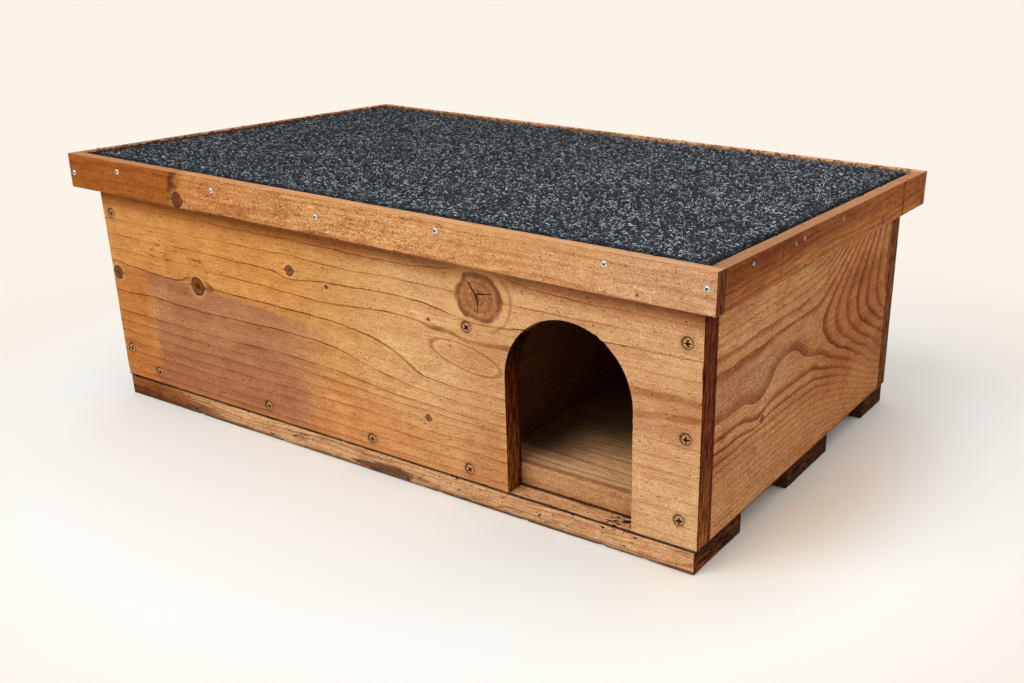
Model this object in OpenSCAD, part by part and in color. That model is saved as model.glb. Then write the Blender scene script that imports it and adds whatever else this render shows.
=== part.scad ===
// Hedgehog house: a box of planed pine boards on three runners, with an arched entrance,
// a baffle that makes a lobby inside it, and a felted roof that lifts off for cleaning.
// X runs along the front from left to right, Y from the front to the back, and Z up.
// The origin lies on the ground under the middle of the box.

/* [Box] */
// Length of the front and back boards
box_w = 700; // [560:5:900]
// Depth over the front and back boards
box_d = 425; // [340:5:560]
// Height of the front board
front_h = 219.5; // [195:0.5:290]
// Thickness of the wall boards
wall_t = 20.5; // [15:0.5:28]
// Easing along the boards' long edges
arris = 1; // [0.5:0.25:2]

/* [Entrance] */
// Width of the arched entrance
door_w = 125; // [100:1:160]
// Height of the arch's crown above the front board's lower edge
door_h = 171; // [140:1:185]
// Wood left between the entrance and the right-hand end
door_margin = 62; // [45:1:110]

/* [Baffle] */
// Width of the lobby that the baffle makes behind the entrance
lobby_w = 195; // [170:1:260]
// Way left round the far end of the baffle
passage_w = 125; // [100:1:150]
// Gap between the baffle and the roof deck
baffle_gap = 6; // [5:1:15]

/* [Floor and runners] */
// Thickness of the floor boards
floor_t = 22; // [15:0.5:28]
// Height of the runners
runner_h = 22; // [15:0.5:45]
// Width of the front runner
front_runner_w = 84; // [50:1:100]
// Width of the middle runner, which carries the joint of the floor boards
middle_runner_w = 95; // [50:1:110]
// Width of the back runner
back_runner_w = 58; // [40:1:90]
// Distance of the runners' ends from the ends of the box
runner_inset = 2; // [0:0.5:10]

/* [Roof] */
// Fall of the roof from front to back, in degrees
roof_fall = 1.2; // [0:0.1:3]
// Thickness of the roof deck
deck_t = 15; // [9:1:22]
// Thickness of the roofing felt
felt_t = 3.5; // [2:0.5:5]
// Gap between the felt and the trim
felt_gap = 1; // [0.5:0.5:4]
// Thickness of the trim boards round the roof
trim_t = 12; // [9:0.5:20]
// Height of the trim boards
trim_h = 34; // [30:1:60]
// Length of trim that hangs below the deck
trim_drop = 14; // [8:1:25]
// Play between the trim and the walls, so that the roof lifts off
roof_play = 5.5; // [5.5:0.5:12]
// Play between the deck and the tops of the walls
seat_play = 0.3; // [0.1:0.1:1]

/* [Hidden] */
$fn = 96;

// Faces of the box, outside and inside
left_x = -box_w / 2;
right_x = box_w / 2;
front_y = -box_d / 2;
back_y = box_d / 2;
room_left = left_x + wall_t;
room_right = right_x - wall_t;
room_front = front_y + wall_t;
room_back = back_y - wall_t;
room_w = room_right - room_left;
room_d = room_back - room_front;

// The walls stand on the runners, and the floor lies between them
wall_z = runner_h;
floor_z = runner_h;
room_z = floor_z + floor_t;
front_top = wall_z + front_h;

// Entrance
door_r = door_w / 2;
door_x = right_x - door_margin - door_r;
door_spring = door_h - door_r;

// Baffle
baffle_x = room_right - lobby_w - wall_t;
baffle_d = room_d - passage_w;

// The middle runner lies halfway between the other two
runner_gap = (box_d - front_runner_w - middle_runner_w - back_runner_w) / 2;
middle_runner_y = front_y + front_runner_w + runner_gap;
floor_joint_y = middle_runner_y + middle_runner_w / 2;

// The roof's own frame starts at the top front edge of the walls
roof_d = box_d / cos(roof_fall);
deck_w = box_w + 2 * roof_play;
deck_d = roof_d + 2 * roof_play;
deck_top = seat_play + deck_t;
trim_z = seat_play - trim_drop;

// Reach of the cutting tools past the wood
past = 5;

// Section of a planed board with eased corners, from its lower left corner
module eased_section(w, h) {
    polygon([
        [arris, 0], [w - arris, 0], [w, arris], [w, h - arris],
        [w - arris, h], [arris, h], [0, h - arris], [0, arris]
    ]);
}

// Board with its grain along X, from the origin; size is its length, depth and height
module board(size) {
    rotate([90, 0, 90])
        linear_extrude(size[0]) eased_section(size[1], size[2]);
}

// The same board with its grain along Y
module cross_board(size) {
    translate([size[0], 0, 0])
        rotate([0, 0, 90]) board([size[1], size[0], size[2]]);
}

// Places what belongs to the roof, which falls gently to the back
module on_roof() {
    translate([0, front_y, front_top])
        rotate([-roof_fall, 0, 0]) children();
}

// All that lies above the plane of the wall tops, or above a plane the given depth below it
module above_walls(depth = 0) {
    on_roof()
        translate([-box_w, -box_d, -depth]) cube([2 * box_w, 3 * box_d, box_d]);
}

// Arched opening through the front board, standing on the board's lower edge
module doorway() {
    translate([door_x, room_front + past, wall_z])
        rotate([90, 0, 0]) linear_extrude(wall_t + 2 * past) {
            translate([-door_r, -past]) square([door_w, door_spring + past]);
            translate([0, door_spring]) circle(d = door_w);
        }
}

module front_wall() {
    color("#b9783f")
        difference() {
            translate([left_x, front_y, wall_z]) board([box_w, wall_t, front_h + past]);
            above_walls();
            doorway();
        }
}

module back_wall() {
    color("#b07a48")
        difference() {
            translate([left_x, room_back, wall_z]) board([box_w, wall_t, front_h + past]);
            above_walls();
        }
}

// The end boards fit between the front and back boards
module end_wall(x) {
    color("#a97c58")
        difference() {
            translate([x, room_front, wall_z]) cross_board([wall_t, room_d, front_h + past]);
            above_walls();
        }
}

module left_wall() {
    end_wall(left_x);
}

module right_wall() {
    end_wall(room_right);
}

// Stands on the floor against the front board, and stops short of the back board and the roof
module baffle() {
    color("#8a5f3c")
        difference() {
            translate([baffle_x, room_front, room_z]) cross_board([wall_t, baffle_d, front_h]);
            above_walls(baffle_gap);
        }
}

// Floor board from one depth to another, between the end boards
module floor_board(from_y, to_y) {
    color("#9a7350")
        translate([room_left, from_y, floor_z]) board([room_w, to_y - from_y, floor_t]);
}

module front_floor_board() {
    floor_board(room_front, floor_joint_y);
}

module back_floor_board() {
    floor_board(floor_joint_y, room_back);
}

module runner(y, w) {
    color("#7d5636")
        translate([left_x + runner_inset, y, 0])
            board([box_w - 2 * runner_inset, w, runner_h]);
}

module front_runner() {
    runner(front_y, front_runner_w);
}

module middle_runner() {
    runner(middle_runner_y, middle_runner_w);
}

module back_runner() {
    runner(back_y - back_runner_w, back_runner_w);
}

module roof_deck() {
    color("#b58d62")
        on_roof()
            translate([-deck_w / 2, -roof_play, seat_play]) cube([deck_w, deck_d, deck_t]);
}

module roof_felt() {
    color("#2f3640")
        on_roof()
            translate([-deck_w / 2 + felt_gap, felt_gap - roof_play, deck_top])
                cube([deck_w - 2 * felt_gap, deck_d - 2 * felt_gap, felt_t]);
}

// Trim along the front or back edge, over the ends of the side trim
module long_trim(y) {
    color("#9c6233")
        on_roof()
            translate([-deck_w / 2 - trim_t, y, trim_z])
                board([deck_w + 2 * trim_t, trim_t, trim_h]);
}

module front_trim() {
    long_trim(-roof_play - trim_t);
}

module back_trim() {
    long_trim(roof_d + roof_play);
}

// Trim along one side, between the front and back trim
module side_trim(x) {
    color("#84502c")
        on_roof()
            translate([x, -roof_play, trim_z]) cross_board([trim_t, deck_d, trim_h]);
}

module left_trim() {
    side_trim(-deck_w / 2 - trim_t);
}

module right_trim() {
    side_trim(deck_w / 2);
}

front_wall();
back_wall();
left_wall();
right_wall();
baffle();
front_floor_board();
back_floor_board();
front_runner();
middle_runner();
back_runner();
roof_deck();
roof_felt();
front_trim();
back_trim();
left_trim();
right_trim();
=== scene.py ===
import math
from functools import reduce

import bpy
import numpy as np
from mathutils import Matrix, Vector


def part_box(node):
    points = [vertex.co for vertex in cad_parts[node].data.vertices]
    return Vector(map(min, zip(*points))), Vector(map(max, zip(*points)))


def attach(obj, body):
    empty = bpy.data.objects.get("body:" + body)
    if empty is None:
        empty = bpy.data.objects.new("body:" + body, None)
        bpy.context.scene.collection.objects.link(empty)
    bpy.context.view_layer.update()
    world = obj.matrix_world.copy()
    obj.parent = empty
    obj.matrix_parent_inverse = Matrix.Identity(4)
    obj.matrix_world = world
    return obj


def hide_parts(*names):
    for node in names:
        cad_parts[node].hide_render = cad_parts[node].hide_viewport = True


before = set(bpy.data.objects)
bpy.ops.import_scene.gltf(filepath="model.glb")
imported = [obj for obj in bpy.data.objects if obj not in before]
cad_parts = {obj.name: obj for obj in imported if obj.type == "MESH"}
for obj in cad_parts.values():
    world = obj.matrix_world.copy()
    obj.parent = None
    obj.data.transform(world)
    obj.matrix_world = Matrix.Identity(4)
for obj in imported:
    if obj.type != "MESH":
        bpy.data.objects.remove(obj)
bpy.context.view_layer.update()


# -------- runners
# Three flat softwood battens lie along the house and keep it off the ground. They are sawn from
# weathered stock, with rubbed and chipped edges, and the floor and the walls are nailed down to them.

MM = 0.001


def operator(operation, swapped=False):
    """A method of Sock that adds a Math node of two terms; swapped puts the Sock second."""
    def method(self, other):
        return self.math(operation, other, self) if swapped else self.math(operation, self, other)
    return method


class Sock:
    """An output of a shader node; arithmetic on it adds Math nodes to the same tree."""

    def __init__(self, tree, out):
        self.tree, self.out = tree, out

    def math(self, operation, *terms):
        node = self.tree.nodes.new("ShaderNodeMath")
        node.operation = operation
        for socket, term in zip(node.inputs, terms):
            plug(self.tree, socket, term)
        return Sock(self.tree, node.outputs[0])

    __add__ = __radd__ = operator("ADD")
    __mul__ = __rmul__ = operator("MULTIPLY")
    __sub__, __rsub__ = operator("SUBTRACT"), operator("SUBTRACT", swapped=True)
    __truediv__, __rtruediv__ = operator("DIVIDE"), operator("DIVIDE", swapped=True)
    __pow__ = operator("POWER")
    least = operator("MINIMUM")
    most = operator("MAXIMUM")

    def __abs__(self):
        return self.math("ABSOLUTE", self)

    def root(self):
        return self.math("SQRT", self)


def plug(tree, socket, value):
    """Links a Sock to a socket, or sets its value; a vector socket takes a colour's first three parts."""
    if isinstance(value, Sock):
        tree.links.new(value.out, socket)
    elif socket.type == "VECTOR":
        socket.default_value = value[:3]
    else:
        socket.default_value = value


def colour(red, green, blue):
    """A paint chip's red, green and blue, from 0 to 255 as shown on a screen, as a linear colour."""
    chip = [part / 255 for part in (red, green, blue)]
    return [part / 12.92 if part <= 0.04045 else ((part + 0.055) / 1.055) ** 2.4 for part in chip] + [1.0]


class Finish:
    """A material being made: its tree, its surface shader and the object coordinates in millimetres."""

    def __init__(self, name, specular=0.3):
        self.material = bpy.data.materials.new(name)
        self.material.use_nodes = True
        self.tree = self.material.node_tree
        self.surface = self.tree.nodes["Principled BSDF"]
        self.surface.inputs["Specular IOR Level"].default_value = specular
        place = self.node("TexCoord", output="Object")
        facing = self.node("TexCoord", output="Normal")
        millimetres = self.node("VectorMath", {"operation": "SCALE"}, {0: place, "Scale": 1 / MM})
        self.x, self.y, self.z = self.split(millimetres)
        self.facing_x, self.facing_y, self.facing_z = [abs(part) for part in self.split(facing)]

    def node(self, kind, settings=None, sockets=None, output=0):
        """Adds a node: first its settings, then the values or links of its sockets."""
        node = self.tree.nodes.new("ShaderNode" + kind)
        for key, value in (settings or {}).items():
            setattr(node, key, value)
        for key, value in (sockets or {}).items():
            plug(self.tree, node.inputs[key], value)
        return Sock(self.tree, node.outputs[output])

    def split(self, vector):
        return [self.node("SeparateXYZ", None, {0: vector}, axis) for axis in range(3)]

    def noise(self, x, y, z, detail=2.0, rough=0.5):
        """Noise about 0.5 at a point whose coordinates are already scaled to its grain."""
        point = self.node("CombineXYZ", None, {0: x, 1: y, 2: z})
        sockets = {"Vector": point, "Scale": 1.0, "Detail": detail, "Roughness": rough}
        return self.node("TexNoise", None, sockets)

    def cloud(self, per_x, per_y, per_z, detail=2.0, rough=0.5):
        """Noise over the object; each scale is one over the length of its grain that way, in millimetres."""
        return self.noise(self.x * per_x, self.y * per_y, self.z * per_z, detail, rough)

    def step(self, value, low, high):
        """Smooth step from 0 at low to 1 at high; low may be the larger."""
        if low > high:
            return 1.0 - self.step(value, high, low)
        sockets = {"Value": value, "From Min": low, "From Max": high}
        return self.node("MapRange", {"interpolation_type": "SMOOTHSTEP"}, sockets)

    def mix(self, share, first, second):
        """The colour between first and second."""
        return self.node("Mix", {"data_type": "RGBA"}, {0: share, 6: first, 7: second}, 2)

    def shade(self, tint, amount):
        """A colour made darker or lighter by a factor."""
        return self.node("VectorMath", {"operation": "SCALE"}, {0: tint, "Scale": amount})

    def deepen(self, tint, amount):
        """A wood colour made darker or lighter by a factor a: red times a, green times a(0.35 + 0.65a) and
        blue times a^2, so that dark wood is also redder."""
        parts = {0: amount, 1: amount * (0.35 + 0.65 * amount), 2: amount * amount}
        factors = self.node("CombineXYZ", None, parts)
        return self.node("VectorMath", {"operation": "MULTIPLY"}, {0: tint, 1: factors})

    def finish(self, tint, rough, height, depth):
        """Sets the colour, the roughness and the relief; a height of 1 stands depth millimetres proud."""
        plug(self.tree, self.surface.inputs["Base Color"], tint)
        plug(self.tree, self.surface.inputs["Roughness"], rough)
        bump = self.node("Bump", None, {"Strength": 1.0, "Distance": depth * MM, "Height": height})
        plug(self.tree, self.surface.inputs["Normal"], bump)
        return self.material


def one_ring(m, rings, bold):
    """The whole number of a growth ring, and its own strength: 1 less up to bold, at random."""
    number = m.node("Math", {"operation": "FLOOR"}, {0: rings})
    return number, 1.0 - bold * m.node("TexWhiteNoise", {"noise_dimensions": "1D"}, {"W": number})


def growth(m, rings, rise, full, fall, gone, bold):
    """Share of dark late wood in each growth ring: nothing until phase rise, all of it from full to fall,
    nothing again at gone. Each ring has its own strength, less than 1 by up to bold."""
    number, strength = one_ring(m, rings, bold)
    phase = rings - number
    return m.step(phase, rise, full) * m.step(phase, gone, fall) * strength


def ring_line(m, rings, period, width, bold):
    """A thin dark line at the end of each growth ring, width millimetres wide where a ring is period wide."""
    number, strength = one_ring(m, rings, bold)
    short = (1.0 - rings + number) * period
    return m.step(abs(short - width), 0.6 * width, 0.25 * width) * strength


def wood(m, late, along, across, depth, end_on, pale, dark, ends, worn=1.0, busy=1.0):
    """Planed softwood: late wood deepens the pale colour by up to dark, under long fibres, short flecks,
    slanting scuffs and open pores. along, across and depth are millimetres with the grain, across the face
    and into it; end_on is 1 where the grain meets the surface end on. worn is the strength of the pale
    marks, busy that of the texture. Gives the colour and the height."""
    fibre = m.noise(along * 0.014, across * 0.4, depth * 0.4, 4.0, 0.62)
    fleck = m.noise(along * 0.12, across * 0.5, depth * 0.5, 3.0, 0.7)
    grit = m.noise(along * 0.7, across * 0.95, depth * 0.95, 2.0, 0.7)
    cloud = m.noise(along * 0.009, across * 0.02, depth * 0.02, 3.0, 0.6)
    mottle = m.noise(along * 0.05, across * 0.07, depth * 0.07, 4.0, 0.65)
    scuff = m.noise((along + 0.5 * across) * 0.7, (across - 0.5 * along) * 0.14, depth * 0.3)
    pore = m.noise(along * 0.22 + 31.0, across * 0.75, depth * 0.75, 2.0, 0.55)
    pale_marks = m.step(scuff, 0.62, 0.68) * m.step(cloud, 0.4, 0.6)
    dark_marks = m.step(pore, 0.66, 0.71)
    late = (late * (0.5 + fleck)).least(1.0)
    tone = 1.0 + busy * (0.7 * fibre + 0.6 * fleck + 0.4 * cloud + 0.6 * mottle + 1.8 * grit - 2.07)
    tint = m.deepen(pale, tone * (1.0 - dark * late))
    tint = m.mix(m.step(mottle, 0.4, 0.7) * 0.15, tint, m.shade(pale, 1.1))
    tint = m.deepen(tint, 1.0 + 0.24 * worn * pale_marks - 0.5 * dark_marks)
    grain = m.noise(along * 0.3, across * 0.05, depth * 0.42, 4.0, 0.75)
    end = m.step(end_on, 0.5, 0.8)
    end_tint = m.deepen(ends, (6.4 * grain + 1.1 * grit - 2.8).most(0.14))
    edge = m.step(m.facing_x.most(m.facing_y).most(m.facing_z), 0.985, 0.8)
    tint = m.deepen(m.mix(end, tint, end_tint), 1.0 - 0.5 * edge * m.step(mottle, 0.4, 0.58))
    height = 0.6 * fibre + 0.8 * fleck + 0.5 * grit + 0.3 * mottle - 0.3 * late - 0.7 * dark_marks
    return tint, height + 1.5 * end * grain


def waves(points, seed, size, octaves=3):
    """Smooth noise from about -1 to 1: the sum of sine waves along random directions, about size apart."""
    rng = np.random.default_rng(seed)
    total, weight = 0.0, 0.0
    for octave in range(octaves):
        gain = 0.5**octave
        way = rng.normal(size=(7, 3)) * 2**octave * 2.0 / size
        total = total + gain * np.sin(points @ way.T + rng.uniform(0, 2 * np.pi, 7)).sum(1)
        weight += gain * 7**0.5
    return total / weight


def walk(outline, radius, step):
    """Points about step apart round a closed outline, each square corner rounded to a quarter circle of that
    radius, and how far along the outline each point is from the nearest rounded corner."""
    outline = np.asarray(outline, float)
    back, ahead = np.roll(outline, 1, 0) - outline, np.roll(outline, -1, 0) - outline
    back /= np.linalg.norm(back, axis=1)[:, None]
    ahead /= np.linalg.norm(ahead, axis=1)[:, None]
    reach = np.where(abs((back * ahead).sum(1)) < 0.5, radius, 0.0)[:, None]
    next_arc = np.roll(outline + back * reach, -1, 0)
    quarter = np.linspace(0, np.pi / 2, 4)[:, None]
    path, rounded = [], []
    for i, corner in enumerate(outline):
        arc = corner + reach[i] * (back[i] * (1 - np.sin(quarter)) + ahead[i] * (1 - np.cos(quarter)))
        path.append(arc if reach[i] > 0 else corner[None])
        rounded.append(np.full(len(path[-1]), reach[i, 0] > 0))
        start, way = path[-1][-1], next_arc[i] - path[-1][-1]
        count = max(1, round(float(np.linalg.norm(way)) / step))
        path.append(start + way * np.arange(1, count)[:, None] / count)
        rounded.append(np.zeros(len(path[-1]), bool))
    path, rounded = np.concatenate(path), np.concatenate(rounded)
    travel = np.concatenate([[0], np.cumsum(np.linalg.norm(np.diff(path, axis=0), axis=1))])
    whole = travel[-1] + np.linalg.norm(path[0] - path[-1])
    gap = abs(travel[:, None] - travel[rounded][None])
    return path, np.minimum(gap, whole - gap).min(1)


def outward(faces, lie):
    """The faces as they are, or turned over where lie mirrors the coordinates."""
    probe = lie(np.vstack([np.zeros(3), np.eye(3)]))
    if np.linalg.det(probe[1:] - probe[0]) < 0:
        return [face[::-1] for face in faces]
    return faces


def board(node, outline, span, axes, material, home, seed, put=np.asarray, ease=0.9, wear=0.8, step=2.5):
    """A worn board in place of a CAD node. axes are the ones that run across its outline, up it and through
    its thickness, which goes over span; put moves its points to where it stands. Ring after ring is the
    outline moved in by r(1 - sin a) and down from the face by r(1 - cos a), for a from 0 to a quarter turn;
    r is the rounding of the edge, about ease, and wear makes it vary, so that the edge looks rubbed and
    chipped. All is in millimetres; home is the board's body and slot."""
    def lie(spots):
        return put(spots[:, np.argsort(axes)])

    low, high = span
    path, past_corner = walk(outline, ease, step)
    tangent = np.roll(path, -1, 0) - np.roll(path, 1, 0)
    tangent /= np.linalg.norm(tangent, axis=1)[:, None]
    inward = np.stack([-tangent[:, 1], tangent[:, 0]], 1)
    stack = []
    for level, away in ((low, 1), (high, -1)):
        spots = np.column_stack([path, np.full(len(path), level)])
        rubbed = waves(spots, seed * 10 + away, 60.0)
        chipped = np.clip(waves(spots, seed * 10 + away + 4, 9.0) - 0.6, 0, 1)
        r = np.clip(ease * (1 + 0.5 * rubbed) + 3.0 * wear * chipped, 0.2, 0.45 * (high - low))
        r = np.minimum(r, 0.9 * ease + 0.6 * past_corner)[:, None]
        rings = [np.hstack([path + inward * r * (1 - math.sin(a)), level + away * r * (1 - math.cos(a))])
                 for a in np.linspace(0, np.pi / 2, 4)]
        if away > 0:
            stack = rings
        else:
            stack += rings[::-1]
    count, levels = len(path), len(stack)
    here = np.arange(count)
    following = np.roll(here, -1)
    side = np.column_stack([here, following, following + count, here + count])
    sides = [side + level * count for level in range(levels - 1)]
    faces = np.concatenate(sides).tolist() + [here[::-1].tolist(), (here + (levels - 1) * count).tolist()]
    thing = piece(node, lie(np.concatenate(stack)), outward(faces, lie), material, home)
    thing.data.polygons.foreach_set("use_smooth", [True] * (len(faces) - 2) + [False, False])
    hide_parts(node)


def placed(name, data):
    """A new object in the scene."""
    thing = bpy.data.objects.new(name, data)
    bpy.context.scene.collection.objects.link(thing)
    return thing


def piece(name, points, faces, material, home):
    """A mesh from points in millimetres; home is the body that it rides on and a slot for its finish, which
    is not used.
    """
    body, slot = home
    mesh = bpy.data.meshes.new(name)
    mesh.from_pydata((points * MM).tolist(), [], faces)
    mesh.materials.append(material)
    thing = placed(name + "_looks", mesh)
    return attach(thing, body)


def corners(node):
    """A CAD node's lowest and highest corner in millimetres."""
    return [np.array(corner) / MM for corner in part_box(node)]


def oblong(low, high, axes):
    """Outline of a box seen along the last of its axes, counterclockwise."""
    left, foot, _ = low[list(axes)]
    right, top, _ = high[list(axes)]
    return [(left, foot), (right, foot), (right, top), (left, top)]


def boards(nodes, axes, material, home, seed, measure=corners, **rest):
    """Square-cut boards in place of the nodes, as large as those measure; the rest is for board."""
    for number, node in enumerate(nodes):
        low, high = measure(node)
        span = low[axes[2]], high[axes[2]]
        board(node, oblong(low, high, axes), span, axes, material, home, seed + number, **rest)


def runner_finish():
    m = Finish("runner_timber", 0.05)
    x, y, z = m.x, m.y, m.z
    sway = m.cloud(0.004, 0.03, 0.03) - 0.5
    rough = m.cloud(0.03, 0.12, 0.12, 5.0, 0.7)
    late = growth(m, (y + 14.0 * sway) * 0.25 + (z + 60.0 * sway) * 0.16, 0.4, 0.8, 0.9, 1.0, 0.7) * 0.4
    pale = m.mix(m.step(x + 200 * sway, -290, -170), colour(150, 90, 46), colour(210, 161, 116))
    foot = m.noise(y * 0.08, z * 0.2, 0.0) - 0.5
    red = m.step(z + 16.0 * foot, 12, 8) * m.step(y, -158, -176)
    ends = m.mix(red, colour(72, 39, 17), colour(106, 51, 20))
    # Painted shade: the right ends of the middle and back runners, under the right wall, are nearly black.
    shade_under_wall = m.step(x, 240, 300) * m.step(y, -128, -118)
    pale = m.mix(shade_under_wall * 0.95, pale, colour(66, 32, 10))
    tint, height = wood(m, late, x, y, z, m.facing_x, pale, 0.8, ends, 1.0, 0.8)
    front = m.step(y, -209, -212)
    low_edge = front * m.step(z + 10.0 * (rough - 0.5), 5.5, 1.0) * 0.85
    left = front * m.step(x, -180, -240) * m.step(z + 40.0 * (rough - 0.5), 13, 5) * 0.7
    smear_x, smear_z = (x - 16) / 46, (z - 3 - 0.05 * x) / 10
    smear = m.step(smear_x * smear_x + smear_z * smear_z + 3.0 * (rough - 0.5), 1.1, 0.3) * front
    dirt = m.step(rough, 0.52, 0.64) * 0.4
    tint = m.mix(dirt.most(low_edge).most(left).most(smear * 0.85), tint, colour(78, 44, 26))
    top = m.step(m.facing_z, 0.8, 1.0)
    chewed = 0.14 * m.step(abs(x - 276), 26, 4) * top
    pit = m.step(m.cloud(0.12, 0.35, 0.35, 3.0, 0.6) + chewed, 0.65, 0.7)
    tint = m.mix(pit, tint, colour(34, 20, 12))
    # Painted shade: thin dark lines on the runner where the sill and the front wall stand on it.
    sill_foot_shade = m.step(z, 20, 21.6) * m.step(y, -195.5, -192.5) * m.step(y, -188, -191)
    wall_foot_shade = m.step(z, 20.0, 21.4) * m.step(y, -209.5, -211.5)
    # Painted light: the upward faces are a quarter lighter.
    tint = m.shade(tint, (1.0 + 0.25 * top) * (1.0 - 0.85 * sill_foot_shade.most(wall_foot_shade)))
    return m.finish(tint, 0.85, height - 2.0 * pit, 0.5)


# A board's axes: across its outline, up it and through its thickness
FLAT = (0, 1, 2)
boards(("front_runner", "middle_runner", "back_runner"), FLAT, runner_finish(), ("box", "runners"), seed=3,
       ease=1.6, wear=1.0, step=2.0)


# -------- floor boards
# Two bare pine boards lie side by side on the runners, between the walls. The front edge of the first
# is the low sill that shows in the entrance; both are dull with dust. Painted light and shade make them
# lighter just inside the entrance and darker deeper in and towards the baffle.

def floor_finish():
    m = Finish("floor_pine", 0.1)
    x, y, z = m.x, m.y, m.z
    sway = m.cloud(0.003, 0.012, 0.02) - 0.5
    late = growth(m, (y + 40.0 * sway) * 0.12 + z * 0.06, 0.5, 0.86, 0.93, 1.0, 0.8)
    late = late * (0.5 - 0.35 * m.step(y, -189, -191))
    pale = m.mix(m.step(y, -189, -191), colour(216, 156, 108), colour(201, 155, 107))
    tint, height = wood(m, late, x, y, z, m.facing_x, pale, 0.68, colour(140, 96, 60), 1.0, 0.8)
    # Painted shade: darker deeper inside the house and towards the baffle.
    inner = m.step(y, -150, -80).most(m.step(x, 220, 150) * m.step(y, -178, -150))
    tint = m.mix(inner * 0.85, tint, colour(62, 36, 19))
    # Painted light and shade: sill face darker, floor inside the entrance lighter, its tops a bit darker.
    tint = m.deepen(tint, 0.9 + 0.5 * m.step(y, -191.5, -182) - 0.1 * m.step(m.facing_z, 0.8, 1.0))
    # Painted shade: a dark ragged line along the foot of the boards, where they sit on the runners.
    ragged = m.noise(x * 0.15, 0.0, 3.0, 3.0, 0.7)
    tint = m.deepen(tint, 1.0 - 0.8 * m.step(z - 2.0 * ragged, 23.4, 21.8))
    dust = m.cloud(0.01, 0.02, 0.02, 3.0, 0.6)
    tint = m.mix(m.step(dust, 0.45, 0.7) * 0.35, tint, colour(172, 120, 80))
    return m.finish(tint, 0.9, height, 0.35)


boards(("front_floor_board", "back_floor_board"), FLAT, floor_finish(), ("box", "inner_boards"), seed=8,
       wear=0.6)


# -------- front wall
# One wide planed pine board with an arched entrance sawn through it, down to its lower edge. It is
# screwed over the ends of the end walls. Sun and oil have turned it honey brown, with a reddish stain.

FACING_FRONT = (0, 2, 1)


def spots_of(node):
    """The points of a CAD node's mesh in millimetres."""
    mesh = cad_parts[node].data
    spots = np.empty(len(mesh.vertices) * 3)
    mesh.vertices.foreach_get("co", spots)
    return spots.reshape(-1, 3) / MM


def front_outline(low, high, arch=48, clear=5):
    """The board's outline, with the entrance read from the foot and the crown of the CAD board's own cut:
    its points that are clear of the board's other edges."""
    spots = spots_of("front_wall")
    foot = np.unique(spots[spots[:, 2] < low[2] + clear, 0].round(1))
    left, right = foot[(foot > low[0] + clear) & (foot < high[0] - clear)]
    inside = (spots[:, 0] > left + clear) & (spots[:, 0] < right - clear)
    crown = spots[inside & (spots[:, 2] < high[2] - clear), 2].max()
    middle, radius = (left + right) / 2, (right - left) / 2
    turn = np.linspace(np.pi, 0, arch)
    arc = np.column_stack([middle + radius * np.cos(turn), crown - radius + radius * np.sin(turn)])
    first, second, third, last = oblong(low, high, FACING_FRONT)
    return [first, (left, low[2]), *arc, (right, low[2]), second, third, last]


def swerve(level, along, up, places, gain=0.95):
    """The height of the grain lines after each knot has pushed them aside, like water round a post."""
    for centre, middle, radius in places:
        across, rise = (along - centre) * 0.5, up - middle
        reach = 1.2 * radius * radius
        level = level - rise * (gain * reach) / (across * across + rise * rise).most(reach)
    return level


def knots(m, tint, height, along, up, places, heart, rim, cracked=0.9, core=0.0):
    """Sets knots into the colour and the height: blotched hearts with faint rings of their own, thin dark
    rims that come and go, and pale halos with a line round them where the grain turns aside. The first is
    cracked. A big knot is sawn aslant, so it is wider than tall."""
    bend = m.noise(along * 0.06, up * 0.06, 4.0) - 0.5
    sway = m.noise(along * 0.06, up * 0.06, 9.0) - 0.5
    blotch = m.noise(along * 0.3, up * 0.3, 2.0, 4.0, 0.7) - 0.5
    hearts, tails, split, outline = [], [], 0.0, 0.0
    for centre, middle, radius in places:
        wide = 1.12 if radius > 15 else 1.0
        across = (along - centre) / (radius * wide) + 0.35 * bend
        rise = (up - middle) / radius + 0.35 * sway
        here = across * across + rise * rise
        if cracked and not hearts:
            split = star(m, across + 0.13 + 0.1 * blotch, rise - 0.12 + 0.1 * blotch) * cracked
            outline = m.step(abs(here.root() - 1.38 - 0.3 * bend), 0.09, 0.03)
            outline = outline * m.step(across, 0.1, 0.6) * 0.4
        hearts.append(here)
        tails.append(0.2 * across * across + 9.0 * rise * rise + 0.02 * radius)
    away = reduce(Sock.least, hearts).root() + 0.08 * blotch
    inside = m.step(away, 1.04, 0.92)
    edge = m.step(away, 0.78, 0.96) * m.step(away, 1.1, 1.0) * m.step(bend + sway, -0.18, 0.04)
    halo = m.step(away, 1.9, 1.1) * (1.0 - inside)
    tint = m.mix(halo * 0.3, tint, colour(232, 176, 116))
    own = m.node("Math", {"operation": "SINE"}, {0: away * 20.0})
    pith = core * m.step(away, 0.6, 0.15)
    tail = m.step(reduce(Sock.least, tails), 1.0, 0.2)
    tint = m.mix(tail * 0.75 * (1.0 - inside), tint, rim)
    tint = m.mix(inside * 0.85, tint, m.deepen(heart, 1.0 + 0.16 * own + 2.2 * blotch + 0.8 * bend - pith))
    tint = m.mix((edge * 0.85).most(outline), tint, rim)
    return m.mix(split, tint, colour(34, 18, 10)), height - 0.6 * edge - 2.0 * split


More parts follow.
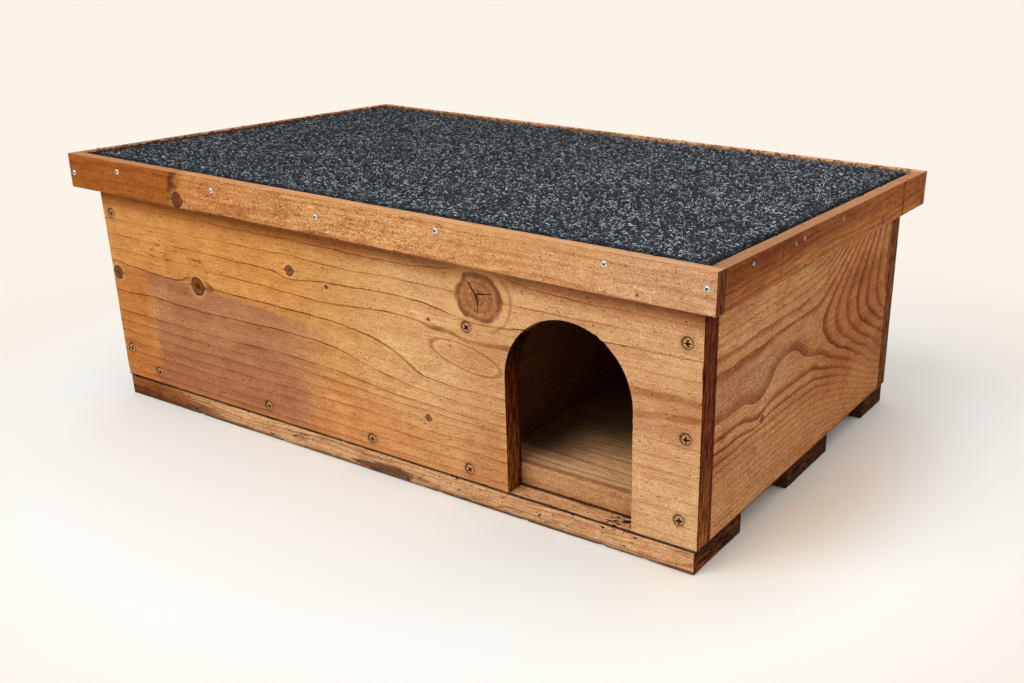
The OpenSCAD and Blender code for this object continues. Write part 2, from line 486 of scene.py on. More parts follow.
def star(m, across, rise, arms=((0.13, -1.0, 0.85), (1.0, 0.2, 0.85), (-0.5, 0.85, 0.55)), width=0.048):
    """Cracks that run out from the heart of a knot; each arm is its two parts of direction and its length."""
    cracks = []
    for way_across, way_up, length in arms:
        run = across * way_across + rise * way_up
        aside = abs(across * way_up - rise * way_across)
        crack = m.step(aside + 0.03 * run, width, 0.4 * width) * m.step(run, -0.05, 0.0)
        cracks.append(crack * m.step(run, length, length - 0.1))
    return reduce(Sock.most, cracks)


# Knots as place along, height and radius; screws as place along and height
KNOTS = ((138, 196.5, 21.5), (-217, 144, 9), (-84, 183, 5.5), (-341, 138, 7), (76, 73, 3.5),
         (-38, 175, 2.5), (82, 167, 1.8))
BOX_SCREWS = ((-337, 201), (-338, 54), (-297, 35), (-132, 35), (5, 34), (121, 34), (124, 168),
              (336, 197), (337, 118), (333, 46))


def screw_rust_and_shade(m, tint, height, along, up, places):
    """The rust that a countersunk screw leaves in the wood round its head, and a dark ring there: painted
    shade of the hollow round the head, set off a little to the upper left.
    """
    offsets = [(along - screw_x + 0.5, up - screw_z - 0.4) for screw_x, screw_z in places]
    away = reduce(Sock.least, [across * across + rise * rise for across, rise in offsets]).root()
    # Painted shade: the dark ring round each head, off centre to the upper left.
    ring = m.step(away, 5.9, 5.0)
    stain = m.step(away, 11.0, 4.0) * m.noise(along * 0.3, up * 0.3, 1.0, 2.0, 0.6)
    tint = m.mix(stain * 0.5, tint, colour(104, 58, 28))
    return m.mix(ring * 0.75, tint, colour(52, 28, 14)), height - 1.5 * ring


def front_finish():
    m = Finish("front_pine", 0.03)
    x, y, z = m.x, m.y, m.z
    slow = m.noise(x * 0.006, z * 0.012, y * 0.01) - 0.5
    quick = m.noise(x * 0.035, z * 0.06, y * 0.05, 3.0) - 0.5
    gap = ((z - 113) / 50).most(0.0).least(1.0)
    fall = 35 * m.step(x, -60, 110) * m.step(z, 66, 120) * (1 - gap)
    rise = 6 * m.step(x, -50, 50) * gap * m.step(z, 215, 180)
    level = z + fall - rise + 7.0 * slow + 3.0 * quick
    level = swerve(swerve(level, x, z, KNOTS[:1], 0.45), x, z, KNOTS[1:])
    eye_x, eye_z = (x - 121) / 38.0, (z - 140 + 0.15 * (x - 121)) / 11.5
    oval = eye_x * eye_x + eye_z * eye_z
    eye = m.step(oval, 1.3, 0.2)
    rings = (level - 147).most(0.0) / 16 + (level - 147).least(0.0) / 24
    rings = rings + (level - 99).least(0.0) * (1 / 11 - 1 / 24)
    rings = rings + 0.15 * eye + (y + 212.5) * 0.03
    narrow = m.step(level, 104, 96)
    period = 24.0 - 8.0 * m.step(level, 146, 148) - 13.0 * narrow
    late = growth(m, rings, 0.2, 0.85, 0.9, 1.0, 0.6) * (0.13 + 0.05 * narrow)
    late = late + ring_line(m, rings, period, 1.3, 0.5) * (0.75 - 0.38 * narrow)
    late = late * (2.4 * m.noise(x * 0.02, z * 0.05, 3.0, 3.0, 0.6) - 0.25).most(0.15)
    late = late * (1.0 - 0.5 * m.step(x, -140, -220) * m.step(z, 150, 165))
    late = (late * m.step(oval, 0.8, 1.1)).most(m.step(abs(oval - 1.0), 0.22, 0.06) * 0.42)
    late = late.most(m.step(oval, 0.8, 0.4) * 0.14)
    smudge = m.step(abs(z - 149 + 8 * quick), 6, 2)
    smudge = smudge.most(m.step(abs(z - 131 - 0.1 * (x - 300) + 8 * quick), 6, 2))
    right = m.step(x, 270, 300)
    smudge = (smudge * 0.5).most(0.24 * m.step(abs(z - 134), 32, 12))
    late = (late * (1.0 - 0.5 * right)).most(smudge * right)
    torn = m.step(m.noise(x * 0.04, z * 0.3, 6.0, 3.0, 0.6), 0.56, 0.66)
    torn = torn * m.step(x, -150, -200) * m.step(x, -320, -290) * m.step(abs(z - 171), 20, 10)
    late = late.most(torn * 0.7)
    honey = m.mix(m.step(x, -120, 100), colour(207, 147, 80), colour(214, 166, 113))
    honey = m.mix(m.step(x, 60, 320), honey, colour(210, 161, 115))
    lower = m.mix(m.step(x, -340, -60), colour(182, 112, 54), colour(200, 130, 76))
    share = (0.7 - 0.15 * m.step(x, 40, 90) - 0.55 * right) * m.step(z + 40 * slow, 120, 40)
    honey = m.mix(share.most(0.8 * m.step(x, -282, -305) * m.step(z, 150, 140)), honey, lower)
    ends = m.mix(m.step(z, 110, 50), colour(100, 41, 10), colour(128, 69, 28))
    # Painted shade: the end grain of the doorway's jambs is near black from about 115 mm up.
    ends = m.mix(m.step(z, 115, 165) * m.step(abs(x - 225), 80, 70), ends, colour(36, 16, 8))
    tint, height = wood(m, late, x, z, y, m.facing_x, honey, 0.83, ends, 1.0, 0.7)
    joint = m.step(y, -196, -192.6).most(m.step(y, -211, -212.3)) * m.step(m.facing_x, 0.5, 0.8)
    # Painted shade: a ragged dark line along the foot of the board, where it stands on the runner.
    foot = m.step(z, 24.2, 22.6) * m.step(quick, -0.3, 0.0)
    drawn = 0.07 * m.step(abs(x + 234), 40, 20) * m.step(abs(z - 150), 60, 40)
    drawn = 0.1 * m.step(abs(x - 140), 32, 12) + drawn
    # Painted shade under the trim: the steps up from 203 mm and from 212 mm darken the wall.
    tint = m.deepen(tint, (1.0 - 0.6 * joint) * (1.0 - 0.48 * m.step(z, 203, 222)) * (1.0 - drawn))
    tint = m.shade(tint, (1.0 - 0.8 * foot) * (1.0 - 0.16 * m.step(z, 212, 221)))
    patch_edge = m.noise(x * 0.01, z * 0.03, 9.1, 3.0, 0.6) - 0.5
    patch = m.step(x + 40 * patch_edge, -302, -282) * m.step(x + 60 * patch_edge, -30, -110)
    patch = patch * m.step(z + 0.06 * x + 8 * patch_edge, 133, 128) * m.step(z, 8, 34)
    settings = {"data_type": "RGBA", "blend_type": "MULTIPLY"}
    tint = m.node("Mix", settings, {0: patch, 6: tint, 7: (0.72, 0.68, 1.12, 1.0)}, 2)
    large = m.step(x, 95, 112)
    heart = m.mix(large, colour(116, 64, 33), colour(156, 100, 62))
    rim = m.mix(large, colour(42, 20, 9), colour(112, 66, 37))
    tint, height = knots(m, tint, height, x, z, KNOTS, heart, rim, 0.9, 0.7 * (1.0 - large))
    tint, height = screw_rust_and_shade(m, tint, height, x, z, BOX_SCREWS)
    return m.finish(tint, 0.62, height, 0.4)


# The tops of the boards are worn by this much, so they stay clear of the deck
TOP_WEAR = 0.5
low, high = corners("front_wall")
high[2] -= TOP_WEAR
board("front_wall", front_outline(low, high), (low[1], high[1]), FACING_FRONT, front_finish(),
      ("box", "front_board"), seed=11, step=2.0)


# -------- end walls and back wall
# Planed pine boards between and behind: the end boards fit between the front and back boards. The
# right one is sawn through the side of a branch, so its figure is a nest of flames.

FACING_END = (1, 2, 0)


def end_finish():
    m = Finish("end_pine", 0.02)
    y, z = m.y, m.z
    quick = m.noise(y * 0.03, z * 0.05, m.x * 0.01) - 0.5
    slope = 14.0 * m.step(y, 60, 200) * m.step(z, 100, 60)
    hump = 19.0 * m.step(abs(y + 55), 70, 0) * m.step(z, 108, 145) * m.step(z, 175, 150)
    dip = 8.0 * m.step(abs(y + 112), 32, 0) * m.step(z, 88, 100) * m.step(z, 150, 125)
    level = z + slope - hump + dip + 7.0 * quick * m.step(z, 60, 110)
    along = (y - 14 + 6.0 * quick) / 26
    ridge = 0.55 + 0.5 * (along + (along * along + 0.5).root())
    above, below = (level - 150).most(0.0), (150 - level).most(0.0)
    spread = (above * above / (above + 16) / 46).least(1.3)
    rings = 7.3 - (7.3 - ridge) / (1 - 0.44 * spread) - (below * below / (below + 9) / 27) ** 1.8
    rings = rings + (m.x - 350) * 0.01
    bold = growth(m, rings, 0.0, 0.04, 0.16, 0.52, 0.3) * 0.8
    bold = bold + growth(m, rings, 0.0, 0.03, 0.05, 0.09, 0.5) * 0.4
    quiet = m.step(z, 100, 70).most(m.step(z, 172, 185) * m.step(y, 60, 0))
    bold = bold * (0.5 + 0.9 * m.noise(y * 0.02, z * 0.03, 5.0, 2.0, 0.6)) * (1.0 - 0.65 * quiet)
    near = m.mix(m.noise(y * 0.012, z * 0.03, 8.0), colour(187, 126, 79), colour(191, 137, 95))
    # Painted shade: the board is paler at the front and darker towards the back.
    pale = m.mix(m.step(y, -120, 120), near, colour(175, 112, 66))
    mauve = m.step(y, 20, -60) * m.step(abs(z - 143), 24, 12)
    pale = m.mix(mauve * 0.3, pale, colour(160, 112, 92))
    far = 0.1 * m.step(z, 80, 50) * m.step(y, -60, 60)
    far = far - 0.1 * m.step(y, -10, 50) * m.step(abs(z - 130), 60, 40)
    # Painted light: the upper front of the board, under the trim, is a little paler.
    pale = m.deepen(pale, 1.04 + 0.15 * m.step(z, 172, 205) * m.step(y, -150, -90) + far)
    tint, height = wood(m, bold, y, z, m.x, m.facing_y, pale, 0.66, colour(92, 44, 18), 1.0, 1.0)
    shade = m.step(y, 120, 190) * m.step(abs(z - 70), 34, 4)
    tint = m.mix(shade * 0.4, tint, colour(118, 68, 37))
    # Darker at the joints with the front and back boards; along the foot, painted shade.
    joint = m.step(abs(y), 189.6, 191.4).most(m.step(z, 25, 22.3))
    tint = m.deepen(tint, 1.0 - 0.6 * joint)
    heart, rim = colour(120, 70, 40), colour(70, 36, 18)
    tint, height = knots(m, tint, height, y, z, ((-102, 97, 4),), heart, rim, 0.0)
    return m.finish(tint, 0.65, height, 0.4)


BACK_KNOTS = ((-190, 110, 13), (95, 170, 7), (250, 80, 5))


def plain_finish():
    m = Finish("back_pine", 0.02)
    x, y, z = m.x, m.y, m.z
    slow = m.noise(x * 0.005, z * 0.012, y * 0.01) - 0.5
    quick = m.noise(x * 0.03, z * 0.06, y * 0.05, 3.0) - 0.5
    level = z + 34.0 * slow + 3.0 * quick
    level = swerve(level, x, z, BACK_KNOTS)
    rings = level / 14 + y * 0.05
    late = growth(m, rings, 0.3, 0.85, 0.9, 1.0, 0.8) * 0.35
    late = late + growth(m, rings, 0.86, 0.93, 0.95, 0.99, 0.8) * 0.5
    honey = m.mix(m.step(x, -260, 300), colour(212, 156, 100), colour(202, 136, 74))
    tint, height = wood(m, late, x, z, y, m.facing_x, honey, 0.75, colour(112, 62, 32))
    tint, height = knots(m, tint, height, x, z, BACK_KNOTS, colour(152, 98, 64), colour(70, 36, 18))
    return m.finish(tint, 0.65, height, 0.4)


ROOF_FALL = math.radians(1.2)
front_low, front_high = corners("front_wall")


def sloping(low, high, top, start, worn):
    """Outline of a board on edge. Its top falls to the back from the height top at start, less the wear."""
    tops = [top - worn - (y - start) * math.tan(ROOF_FALL) for y in (low[1], high[1])]
    return [(low[1], low[2]), (high[1], low[2]), (high[1], tops[1]), (low[1], tops[0])]


end_pine = end_finish()
for number, node in enumerate(("left_wall", "right_wall")):
    low, high = corners(node)
    outline = sloping(low, high, front_high[2], front_low[1], worn=0.2)
    board(node, outline, (low[0], high[0]), FACING_END, end_pine, ("box", "wall_boards"), seed=14 + number)
low, high = corners("back_wall")
high[2] -= TOP_WEAR
board("back_wall", oblong(low, high, FACING_FRONT), (low[1], high[1]), FACING_FRONT, plain_finish(),
      ("box", "wall_boards"), seed=17)


# -------- baffle
# An inner board on edge makes the lobby; it is screwed through the front board and stops short of the
# back one. It is bare wood, painted dark as the shade inside the house.

def baffle_finish():
    m = Finish("baffle_pine", 0.1)
    slow = m.noise(m.y * 0.006, m.z * 0.015, m.x * 0.01) - 0.5
    late = growth(m, (m.z + 30.0 * slow) * 0.1 + m.x * 0.05, 0.4, 0.85, 0.92, 1.0, 0.8) * 0.3
    # Painted shade: the board's colour is dark brown all over.
    tint, height = wood(m, late, m.y, m.z, m.x, m.facing_y, colour(96, 58, 34), 0.5, colour(80, 48, 28))
    return m.finish(tint, 0.85, height, 0.35)


low, high = corners("baffle")
board("baffle", sloping(low, high, high[2], low[1], worn=0.1), (low[0], high[0]), FACING_END,
      baffle_finish(), ("box", "inner_boards"), seed=19, ease=0.8, wear=0.5)


# -------- wall screws
# Yellow zinc countersunk screws with cross recesses hold the front and back boards to the end boards,
# the floor and the baffle. Their heads sit level with the wood, and the crosses are painted dark as shade.

def screw_heads(places, radius, proud, turns, arm, reach):
    """Heads as a polar grid of radius s and turn t. The height is proud times (1 - s^3), and a fifth of that
    in the cross, whose two arms are arm wide and reach long as shares of the radius, with sloping sides. The
    last ring is the rim, sunk in the wood. Gives the points of every head (along the face, up it and out of
    it), the faces, and each point's share in the cross."""
    share = np.array([0.05, 0.11, 0.2, 0.3, 0.42, 0.55, 0.62, 0.66, 0.8, 0.92, 1.0, 1.0])
    sunk = np.array([0.0] * 11 + [1.2])
    slope = 0.08
    turn = np.linspace(0, 2 * np.pi, 32, endpoint=False)
    s, t = np.meshgrid(share, turn, indexing="ij")
    u, v = s * np.cos(t), s * np.sin(t)
    narrow, far = np.minimum(abs(u), abs(v)), np.maximum(abs(u), abs(v))
    cross = np.clip((arm + 0.05 - narrow) / slope, 0, 1) * np.clip((reach + 0.02 - far) / slope, 0, 1)
    w = proud * (1 - s**3) * (1 - 0.8 * cross) - sunk[:, None]
    one = np.column_stack([radius * u.ravel(), radius * v.ravel(), w.ravel()])
    one = np.concatenate([one, [[0, 0, w[0].min()]]])
    cells = np.arange(s.size).reshape(s.shape)
    ahead = np.roll(cells, -1, 1)
    quads = np.stack([cells[:-1], cells[1:], ahead[1:], ahead[:-1]], -1).reshape(-1, 4)
    fan = np.column_stack([np.full(len(turn), s.size), cells[0], ahead[0]])
    cos, sin = np.cos(turns)[:, None], np.sin(turns)[:, None]
    across = places[:, :1] + cos * one[:, 0] - sin * one[:, 1]
    up = places[:, 1:] + sin * one[:, 0] + cos * one[:, 1]
    out = np.broadcast_to(one[:, 2], across.shape)
    shift = (np.arange(len(places)) * len(one))[:, None, None]
    faces = (shift + quads).reshape(-1, 4).tolist() + (shift + fan).reshape(-1, 3).tolist()
    rims = (shift[:, 0] + cells[-1][::-1]).tolist()
    recess = np.tile(np.append(cross.ravel(), 1.0), len(places))
    return np.stack([across, up, out], -1).reshape(-1, 3), faces + rims, recess


def metal_finish(name, bright, dull, rough, pit):
    m = Finish(name, 0.5)
    m.surface.inputs["Metallic"].default_value = 1.0
    grime = m.cloud(0.8, 0.8, 0.8, 4.0, 0.7)
    wear = m.cloud(0.21, 0.21, 0.21, 2.0, 0.6)
    recess = m.node("Attribute", {"attribute_name": "recess"}, output="Fac")
    tint = m.shade(m.mix(m.step(grime, 0.42, 0.62), bright, dull), 0.7 + 0.6 * wear)
    # Painted shade: the cross recess takes the dark colour pit.
    return m.finish(m.mix(m.step(recess, 0.2, 0.7), tint, pit), rough + 0.3 * grime, grime, 0.08)


def fix_screws(name, places, lie, material, home, seed, radius, proud, arm, reach):
    """Screw heads at the places, each turned at random; lie puts their coordinates on the wood."""
    places = np.array(places, float)
    turns = np.random.default_rng(seed).uniform(0, np.pi / 2, len(places))
    points, faces, recess = screw_heads(places, radius, proud, turns, arm, reach)
    thing = piece(name, lie(points), outward(faces, lie), material, home)
    thing.data.polygons.foreach_set("use_smooth", [len(face) < 5 for face in faces])
    thing.data.attributes.new("recess", "FLOAT", "POINT").data.foreach_set("value", recess)


def against(axis, face, way):
    """Lays the coordinates of heads on a face square to X (axis 0) or Y (axis 1) that looks way, -1 or 1."""
    def lie(points):
        along, up, out = points.T
        level = face + way * out
        return np.column_stack([along, level, up] if axis else [level, along, up])
    return lie


back_high = corners("back_wall")[1]
BACK_SCREWS = ((-338, 190), (-338, 110), (-337, 44), (-296, 34), (-130, 34), (6, 35), (124, 34), (298, 35),
               (338, 188), (337, 112), (338, 46))
zinc, zinc_recess_shade = colour(228, 174, 120), colour(30, 16, 8)
yellow_zinc = metal_finish("yellow_zinc", zinc, colour(122, 76, 43), 0.35, zinc_recess_shade)
walls = (("front_screws", BOX_SCREWS, against(1, front_low[1], -1)),
         ("back_screws", BACK_SCREWS, against(1, back_high[1], 1)))
for number, (name, places, lie) in enumerate(walls):
    fix_screws(name, places, lie, yellow_zinc, ("box", "wall_screws"), seed=5 + number,
               radius=4.2, proud=0.5, arm=0.17, reach=0.68)


# -------- roof deck
# A sheet of exterior plywood lies on the walls and follows their fall to the back. It carries the felt,
# and the trim is screwed to its edges.

pivot = np.array([0.0, front_low[1], front_high[2]])
cosine, sine = math.cos(ROOF_FALL), math.sin(ROOF_FALL)
tilt = np.array([[1, 0, 0], [0, cosine, sine], [0, -sine, cosine]])


def on_roof(points):
    """Points of the roof's own frame, which starts at the top front edge of the walls, set to its fall."""
    return points @ tilt.T + pivot


def roof_corners(node):
    """A roof node's lowest and highest corner in the roof's own frame, in millimetres."""
    spots = (spots_of(node) - pivot) @ tilt
    return spots.min(0), spots.max(0)


def deck_finish():
    m = Finish("deck_ply", 0.1)
    slow = m.cloud(0.004, 0.01, 0.01) - 0.5
    late = growth(m, (m.y + 60.0 * slow) * 0.045, 0.2, 0.7, 0.85, 1.0, 0.5)
    pale = colour(204, 164, 118)
    tint, height = wood(m, late, m.x, m.y, m.z, 0.0, pale, 0.4, pale)
    return m.finish(tint, 0.8, height, 0.2)


boards(["roof_deck"], FLAT, deck_finish(), ("roof", "roof_deck"), seed=21, measure=roof_corners, put=on_roof,
       ease=0.4, wear=0.3, step=5.0)


# -------- roof trim
# Four stained softwood laths stand round the deck and hang below it, so that the roof caps the walls.
# The front and back laths cover the ends of the side ones. Their upper edges are rubbed pale, with a painted
# highlight.

def trim_finish(m, along, across, end_on, pale, dark, ends, places, dents, busy):
    slow = m.noise(along * 0.006, across * 0.02, m.z * 0.03) - 0.5
    quick = m.noise(along * 0.03, across * 0.05, m.z * 0.08) - 0.5
    level = m.z + 0.6 * across + 26.0 * slow + 3.0 * quick
    late = growth(m, level / 7.0, 0.2, 0.8, 0.9, 1.0, 0.8) * 0.35
    tint, height = wood(m, late, along, m.z, across, end_on, pale, dark, ends, 1.4, busy)
    if places:
        heart, rim = colour(112, 58, 30), colour(50, 24, 12)
        tint, height = knots(m, tint, height, along, m.z, places, heart, rim, 0.0)
    # Wear and painted highlight: the upward faces are mixed towards a pale colour.
    rubbed = m.step(m.facing_z, 0.35, 0.9) * (0.5 + 0.5 * m.noise(along * 0.05, across * 0.2, 1.0, 3.0))
    tint = m.mix(rubbed * 0.55, tint, colour(232, 178, 132))
    gouge = m.step(m.noise(along * 0.09, m.z * 0.16, across * 0.1, 3.0, 0.65), 0.62, 0.7) * dents
    tint = m.mix(gouge * 0.8, tint, colour(78, 38, 18))
    return m.finish(tint, 0.55, height - 2.0 * gouge, 0.5)


def long_trim_finish():
    m = Finish("long_trim_pine", 0.03)
    x, y, z = m.x, m.y, m.z
    tone = m.step(x + 30 * (m.noise(x * 0.02, z * 0.1, 0.0, 3.0) - 0.5), -215, -190)
    red = m.mix(m.step(x, -230, 60), colour(194, 129, 74), colour(209, 153, 99))
    red = m.mix(m.step(x, 150, 340), red, colour(207, 159, 116))
    pale = m.mix(tone, colour(160, 91, 35), red)
    ragged = m.noise(x * 0.1, z * 0.12, 5.0, 3.0, 0.6) - 0.5
    border = m.step(abs(x + 212 + 34.0 * ragged), 8, 2) * m.step(y, 0, -100)
    pale = m.mix(border * 0.75, pale, colour(78, 36, 16))
    # Painted shade: a dark line along the lower edge of the front lath; this stretch also gets busier
    # texture.
    under = m.step(x, -200, -170) * m.step(x, 190, 40) * m.step(y, 0, -100)
    pale = m.deepen(pale, 1.0 - 0.62 * under * m.step(z, 230.0, 229.2))
    ends = m.mix(m.step(y, -100, 100), colour(104, 48, 20), colour(146, 80, 40))
    dents = m.step(x, 180, 300) * m.step(z, 246, 232)
    knot, busy = (-207, 236, 7.5), 0.75 + 0.6 * under
    return trim_finish(m, x, y, m.facing_x, pale, 0.66, ends, (knot,), dents, busy)


def side_trim_finish():
    m = Finish("side_trim_pine", 0.02)
    stain = m.step(abs(m.y - 162 + 6 * (m.noise(m.y * 0.05, m.z * 0.1, 0.0) - 0.5)), 5, 1)
    above = m.z - 241.5 + (m.y + 212.5) * math.tan(ROOF_FALL)
    pale = m.mix(m.step(m.y, -60, 200), colour(181, 121, 69), colour(158, 89, 37))
    far = m.step(m.y, -100, 160)
    upper = (0.44 - 0.26 * far) * m.step(above, -10, 14)
    level = 0.77 + 0.23 * m.step(m.y, -215, -60) + 0.17 * m.step(m.y, 20, 110)
    pale = m.deepen(pale, (0.97 - upper) * level)
    pale = m.mix(stain * 0.7, pale, colour(88, 44, 22))
    return trim_finish(m, m.y, m.x, m.facing_y, pale, 0.7, colour(78, 36, 14), (), 0.9, 1.25)


boards(("front_trim", "back_trim"), FACING_FRONT, long_trim_finish(), ("roof", "roof_trim"), seed=23,
       measure=roof_corners, put=on_roof, wear=1.2, step=1.8)
boards(("left_trim", "right_trim"), FACING_END, side_trim_finish(), ("roof", "roof_trim"), seed=27,
       measure=roof_corners, put=on_roof, wear=1.0, step=1.8)


# -------- trim screws
# Small steel screws fix the laths to the edges of the deck. Those of the front and back laths are bright,
# those of the side laths smaller and duller.

bright, dull = colour(232, 236, 240), colour(168, 174, 180)
bright_steel = metal_finish("bright_steel", bright, dull, 0.25, colour(40, 40, 44))
bright, dull = colour(190, 186, 180), colour(120, 106, 94)
dull_steel = metal_finish("dull_steel", bright, dull, 0.4, colour(50, 42, 38))
# Places along the lath and up from its lower edge
LONG_TRIM = ((-361, 15), (-292, 24), (-157.5, 23), (-25, 17), (110, 25), (272.5, 24), (359, 20))
SIDE_TRIM = ((40, 27), (117, 26), (134, 27), (217, 27))
laths = (("front_trim", LONG_TRIM, 1, -1), ("back_trim", LONG_TRIM, 1, 1),
         ("left_trim", SIDE_TRIM, 0, -1), ("right_trim", SIDE_TRIM, 0, 1))
for number, (node, places, axis, way) in enumerate(laths):
    low, high = roof_corners(node)
    places = [(along, low[2] + up) for along, up in places]
    lie = against(axis, (low if way < 0 else high)[axis], way)
    radius, steel = (2.7, bright_steel) if axis == 1 else (1.9, dull_steel)
    fix_screws(node + "_screws", places, lambda points: on_roof(lie(points)), steel,
               ("roof", "trim_screws"), seed=7 + number, radius=radius, proud=0.9, arm=0.2, reach=0.42)


# -------- roof felt
# A mat of curled charcoal fibres is let in between the trim. It is soft: its edges roll down to the
# deck and its top is uneven.

def felt_finish():
    m = Finish("charcoal_felt", 0.15)
    x, y = m.x, m.y
    curls = []
    for scale, seed in ((0.5, 0.0), (0.7, 40.0), (0.38, 90.0)):
        bend = m.noise(x * scale + seed, y * scale, 0.3 + seed, 1.5, 0.5)
        curls.append(m.step(abs(bend - 0.5), 0.045, 0.0))
    strands = curls[0].most(curls[1] * 0.8).most(curls[2] * 0.7)
    tint = m.mix(strands, colour(5, 6, 9), colour(101, 114, 133))
    return m.finish(m.shade(tint, edge_shade_and_tone(m)), 0.95, strands, 1.2)


HALF_LENGTH, HALF_DEPTH = 355, 217


def edge_shade_and_tone(m):
    """How bright the mat is: darker near its edge, painted shade where it tucks in behind the trim,
    and palest at the front right.
    """
    # Painted shade: the mat darkens within 15 mm of its edge.
    edge = (HALF_LENGTH - abs(m.x)).least(HALF_DEPTH - abs(m.y))
    broad = m.noise(m.x * 0.012, m.y * 0.012, 0.0)
    return m.step(edge, -2, 15) * (0.44 + 0.4 * broad + 0.56 * m.step(m.x - m.y, -520, 520))


def fibre_finish():
    m = Finish("charcoal_fibre", 0.25)
    patch = m.cloud(0.8, 0.8, 0.8, 1.0)
    gleam = m.node("Attribute", {"attribute_name": "gleam"}, output="Fac")
    # Each fibre's paleness at random: pale fibres, the palest near white as painted glints.
    tint = m.mix(gleam * m.step(patch, 0.3, 0.6), colour(20, 25, 33), colour(242, 250, 255))
    return m.finish(m.shade(tint, edge_shade_and_tone(m)), 0.7, patch, 0.1)


def mat_top(x, y, low, high, roll=9.0, sink=3.2):
    """Height of the mat above x and y: it falls near the edges by sink times (1 - t)^2, t being the share of
    the roll width from the edge, and is a little uneven everywhere."""
    inset = np.minimum(np.minimum(x - low[0], high[0] - x), np.minimum(y - low[1], high[1] - y))
    near = np.clip(1 - inset / roll, 0, 1)
    spots = np.column_stack([x.ravel(), y.ravel(), np.zeros(x.size)])
    return high[2] + 0.4 - sink * near**2 + 0.35 * waves(spots, 31, 26.0).reshape(x.shape)


def felt_sheet(low, high, step=4.0):
    """A grid over the mat at its height, with a skirt that closes it down to its underside."""
    across = np.linspace(low[0], high[0], round((high[0] - low[0]) / step))
    back = np.linspace(low[1], high[1], round((high[1] - low[1]) / step))
    x, y = np.meshgrid(across, back, indexing="ij")
    top = np.column_stack([x.ravel(), y.ravel(), mat_top(x, y, low, high).ravel()])
    cells = np.arange(x.size).reshape(x.shape)
    quads = np.stack([cells[:-1, :-1], cells[1:, :-1], cells[1:, 1:], cells[:-1, 1:]], -1)
    rim = np.concatenate([cells[:-1, 0], cells[-1, :-1], cells[:0:-1, -1], cells[0, :0:-1]])
    foot = top[rim].copy()
    foot[:, 2] = low[2]
    below = np.arange(len(rim)) + len(top)
    skirt = np.column_stack([np.roll(rim, -1), rim, below, np.roll(below, -1)]).tolist()
    return np.concatenate([top, foot]), quads.reshape(-1, 4).tolist() + skirt + [below[::-1].tolist()]


def fibres(low, high, count, part, parts, seed, joints=5):
    """Curled fibres lying in the mat, one in each cell of a grid that all the parts share by turns. Each is
    a path whose heading turns evenly, with a wander of its own, and whose height over the mat is lift times
    (1 - t^2), t running from -1 to 1; round the path goes a three-sided tube that thins towards its ends. A
    few at the left and the back stray on to the trim. Gives the points, the faces and each point's gleam."""
    rng = np.random.default_rng(seed)
    rows = round(math.sqrt(count * parts * (high[1] - low[1]) / (high[0] - low[0])))
    cell = np.arange(count) * parts + part
    columns = math.ceil(count * parts / rows)
    x = low[0] + (cell // rows + rng.uniform(0, 1, count)) * (high[0] - low[0]) / columns
    y = low[1] + (cell % rows + rng.uniform(0, 1, count)) * (high[1] - low[1]) / rows
    stray = rng.uniform(size=count) < 0.03
    spill = rng.uniform(-1.0, 1.0, count) ** 3 * 7.0
    x = np.where(stray & (part % 2 == 0), low[0] + spill, x)
    y = np.where(stray & (part % 2 == 1), high[1] + spill, y)
    length = rng.uniform(2.8, 7.2, count)[:, None]
    curl = rng.normal(0, 1.9, count)[:, None]
    t = np.linspace(-1, 1, joints)
    heading = rng.uniform(0, 2 * np.pi, count)[:, None] + curl * t + rng.normal(0, 0.25, (count, joints))
    stride = length / (joints - 1)
    path_x = x[:, None] + np.cumsum(np.cos(heading), 1) * stride
    path_y = y[:, None] + np.cumsum(np.sin(heading), 1) * stride
    slack = np.where(stray, 9.0, -0.6)[:, None]
    path_x = np.clip(path_x, low[0] - slack, high[0] + 0.6 * np.minimum(slack, 0))
    path_y = np.clip(path_y, low[1] + 0.6, high[1] + slack)
    lift = rng.uniform(0.3, 2.2, count)[:, None]
    path_z = mat_top(path_x, path_y, low, high) + lift * (1 - t**2) - 0.25
    outside = np.clip(np.maximum(low[0] - path_x, path_y - high[1]) + 1.5, 0, 1)
    path_z = path_z + outside * (high[2] + 1.7 - path_z + 0.4 * lift * (1 - t**2))
    thick = rng.uniform(0.2, 0.36, count)[:, None] * (1 - 0.45 * t**4)
    side = np.stack([-np.sin(heading), np.cos(heading), np.zeros_like(heading)], -1)
    path = np.stack([path_x, path_y, path_z], -1)
    corner = np.pi / 2 + np.arange(3) * 2 * np.pi / 3
    ring = np.cos(corner)[:, None] * side[:, :, None] + np.sin(corner)[:, None] * np.array([0, 0, 1.0])
    points = path[:, :, None] + thick[:, :, None, None] * ring
    cells = np.arange(count * joints * 3).reshape(count, joints, 3)
    ahead = np.roll(cells, -1, 2)
    quads = np.stack([cells[:, :-1], ahead[:, :-1], ahead[:, 1:], cells[:, 1:]], -1).reshape(-1, 4).tolist()
    ends = np.concatenate([cells[:, 0, ::-1], cells[:, -1]]).tolist()
    gleam = np.repeat(rng.uniform(0, 1, count) ** 2.2, joints * 3)
    return points.reshape(-1, 3), quads + ends, gleam


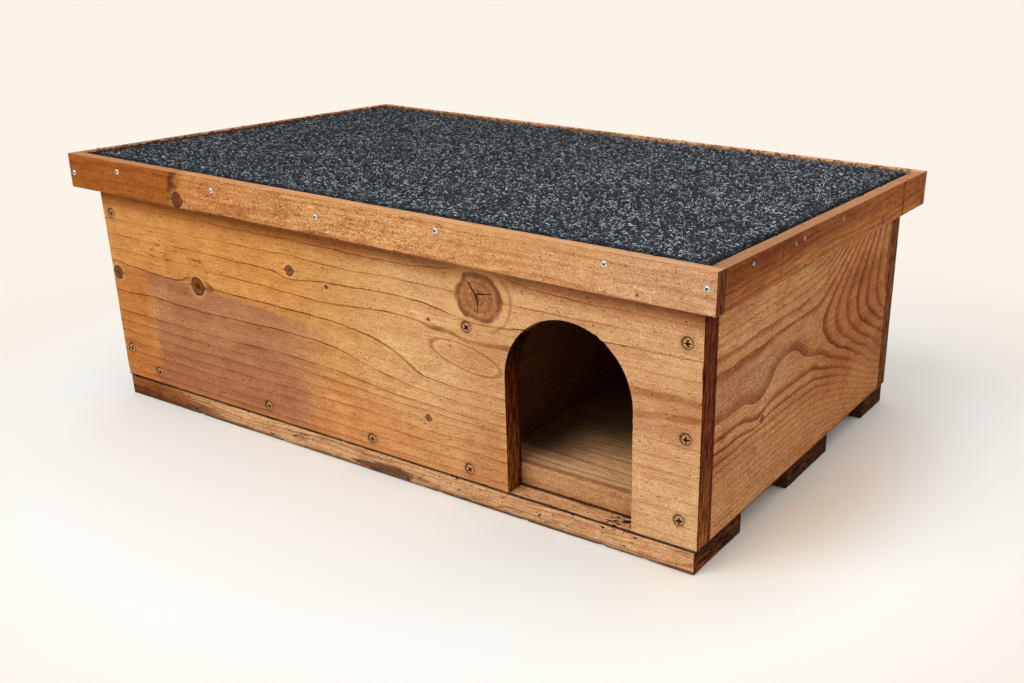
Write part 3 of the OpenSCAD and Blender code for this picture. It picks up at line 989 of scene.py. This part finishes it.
low, high = roof_corners("roof_felt")
points, faces = felt_sheet(low, high)
felt = piece("roof_felt", on_roof(points), faces, felt_finish(), ("roof", "roof_felt"))
felt.data.polygons.foreach_set("use_smooth", [True] * len(faces))
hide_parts("roof_felt")
charcoal_fibre = fibre_finish()
TUFTS, FIBRES_A_TUFT = 4, 7000
for number in range(TUFTS):
    points, faces, gleam = fibres(low, high, FIBRES_A_TUFT, number, TUFTS, 41 + number)
    tuft = piece(f"felt_fibres_{number + 1}", on_roof(points), faces, charcoal_fibre, ("roof", "roof_felt"))
    tuft.data.attributes.new("gleam", "FLOAT", "POINT").data.foreach_set("value", gleam)


# -------- studio
# A pale paper floor, a broad soft key from the front left, a softer fill from behind on the right and an
# even white surround. The camera stands off the front right corner.

def paper_floor(reach=14.0):
    m = Finish("studio_paper", 0.0)
    tone = m.noise(m.x * 0.002, m.y * 0.002, 0.0)
    away = (m.x * m.x + m.y * m.y).root()
    # Painted shadow: a warm darker patch on the paper beside the right wall.
    shadow_beside = m.step(m.x, 250, 420) * m.step(away, 520, 360) * (1.0 - 0.6 * m.step(m.y, -120, 200))
    near = m.mix(shadow_beside, colour(250, 254, 253), colour(243, 228, 210))
    # Painted light: the paper is paler and cooler near the house than farther off.
    m.finish(m.mix(m.step(away, 440, 700), near, colour(245, 238, 230)), 1.0, tone, 0.0)
    mesh = bpy.data.meshes.new("studio_floor")
    far_corners = [(-reach, -reach, 0), (reach, -reach, 0), (reach, reach, 0), (-reach, reach, 0)]
    mesh.from_pydata(far_corners, [], [(0, 1, 2, 3)])
    mesh.materials.append(m.material)
    placed("studio_floor", mesh)


def surround(strength):
    """Even light from all round. The camera sees pale paper there instead, as bright as the floor."""
    world = bpy.data.worlds.new("studio_surround")
    world.use_nodes = True
    tree = world.node_tree
    lit = tree.nodes["Background"]
    lit.inputs["Color"].default_value = (1.0, 0.99, 0.97, 1.0)
    lit.inputs["Strength"].default_value = strength
    seen = tree.nodes.new("ShaderNodeBackground")
    seen.inputs["Color"].default_value = colour(252, 245, 234)
    choice = tree.nodes.new("ShaderNodeMixShader")
    path = tree.nodes.new("ShaderNodeLightPath")
    tree.links.new(path.outputs["Is Camera Ray"], choice.inputs["Fac"])
    tree.links.new(lit.outputs["Background"], choice.inputs[1])
    tree.links.new(seen.outputs["Background"], choice.inputs[2])
    tree.links.new(choice.outputs["Shader"], tree.nodes["World Output"].inputs["Surface"])
    bpy.context.scene.world = world


def soft_light(name, strength, spread, turn, rise):
    """A broad light from turn degrees left of the front and rise degrees up, spread degrees across."""
    lamp = bpy.data.lights.new(name, "SUN")
    lamp.energy = strength
    lamp.angle = math.radians(spread)
    lamp.color = (1.0, 0.985, 0.96)
    placed(name, lamp).rotation_euler = (math.radians(90 - rise), 0, math.radians(-turn))


paper_floor()
surround(0.46)
soft_light("key", 1.65, 46, 25, 43)
soft_light("fill", 0.9, 90, -130, 62)

camera = bpy.data.cameras.new("camera")
camera.lens = 40.544
camera.shift_x = -0.1189
camera.shift_y = 0.0362
camera.clip_end = 100
viewer = placed("camera", camera)
viewer.location = (0.7176, -0.9216, 0.4971)
viewer.rotation_euler = [math.radians(turn) for turn in (67.768, -0.691, 31.422)]
bpy.context.scene.camera = viewer
bpy.context.scene.view_settings.view_transform = "Standard"
